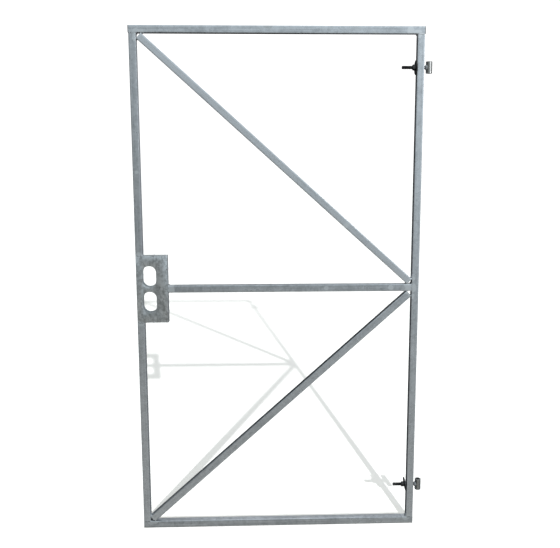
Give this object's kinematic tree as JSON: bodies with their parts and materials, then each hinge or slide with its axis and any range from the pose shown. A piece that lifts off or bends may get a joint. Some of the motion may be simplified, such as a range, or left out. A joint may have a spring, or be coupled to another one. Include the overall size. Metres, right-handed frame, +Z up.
{
  "type": "garden gate",
  "caption": "Garden gate of welded galvanised square tube with a middle rail, diagonal braces, a slotted lock case and adjustable eye-bolt hinges.",
  "frame": {"origin": "centre of the lower hinge eye's bottom rim, on the hinge axis", "axes": "+Z up along the hinge axis, +X from the latch edge towards the hinge edge, -Y out of the front"},
  "size_m": [1.0315, 0.05, 1.8],
  "materials": {
    "galvanised_tube": "hot-dip galvanised, mottled, with lengthwise streaks",
    "galvanised_sheet": "galvanised sheet, duller than the tube, blotched by welding heat",
    "weld_bead": "weld sprayed with bright zinc",
    "eye_steel": "turned steel, zinc plated",
    "fastener_steel": "dark plated steel",
    "cap_plastic": "dark polyethylene"
  },
  "bodies": {
    "frame": {"bottom_corner_welds": "weld_bead", "bottom_rail": "galvanised_tube", "bottom_rail_end_plates": "galvanised_tube", "hinge_stile": "galvanised_tube", "latch_stile_lower": "galvanised_tube", "latch_stile_upper": "galvanised_tube", "lock_case_bottom_strip": "galvanised_sheet", "lock_case_inner_strip": "galvanised_sheet", "lock_case_shell": "galvanised_sheet", "lock_case_top_strip": "galvanised_sheet", "lock_case_welds": "weld_bead", "lower_brace": "galvanised_tube", "lower_brace_welds": "weld_bead", "lower_hinge_washer": "fastener_steel", "middle_rail": "galvanised_tube", "middle_rail_welds": "weld_bead", "top_corner_welds": "weld_bead", "top_rail": "galvanised_tube", "top_rail_hinge_cap": "cap_plastic", "top_rail_latch_cap": "cap_plastic", "upper_brace": "galvanised_tube", "upper_brace_welds": "weld_bead", "upper_hinge_washer": "fastener_steel"},
    "upper_eye_bolt": {"upper_hinge_eye": "eye_steel", "upper_hinge_rod": "fastener_steel", "upper_hinge_neck_weld": "weld_bead"},
    "upper_nut": {"upper_hinge_nut": "fastener_steel"},
    "lower_eye_bolt": {"lower_hinge_eye": "eye_steel", "lower_hinge_rod": "fastener_steel", "lower_hinge_neck_weld": "weld_bead"},
    "lower_nut": {"lower_hinge_nut": "fastener_steel"}
  },
  "joints": [
    {"name": "upper_eye_bolt_slide", "type": "slide", "parent": "frame", "child": "upper_eye_bolt", "axis": [1, 0, 0], "range_m": [-0.004, 0.03]},
    {"name": "upper_nut_turn", "type": "hinge", "parent": "frame", "child": "upper_nut", "pos_m": [-0.052, 0, 1.535], "axis": [-1, 0, 0], "range_deg": [-823, 6172]},
    {"name": "lower_eye_bolt_slide", "type": "slide", "parent": "frame", "child": "lower_eye_bolt", "axis": [1, 0, 0], "range_m": [-0.004, 0.025]},
    {"name": "lower_nut_turn", "type": "hinge", "parent": "frame", "child": "lower_nut", "pos_m": [-0.052, 0, 0.02], "axis": [-1, 0, 0], "range_deg": [-823, 5143]}
  ],
  "couplings": [
    {"joint": "upper_nut_turn", "follows": "upper_eye_bolt_slide", "rad_per_m": 3590.4},
    {"joint": "lower_nut_turn", "follows": "lower_eye_bolt_slide", "rad_per_m": 3590.4}
  ]
}
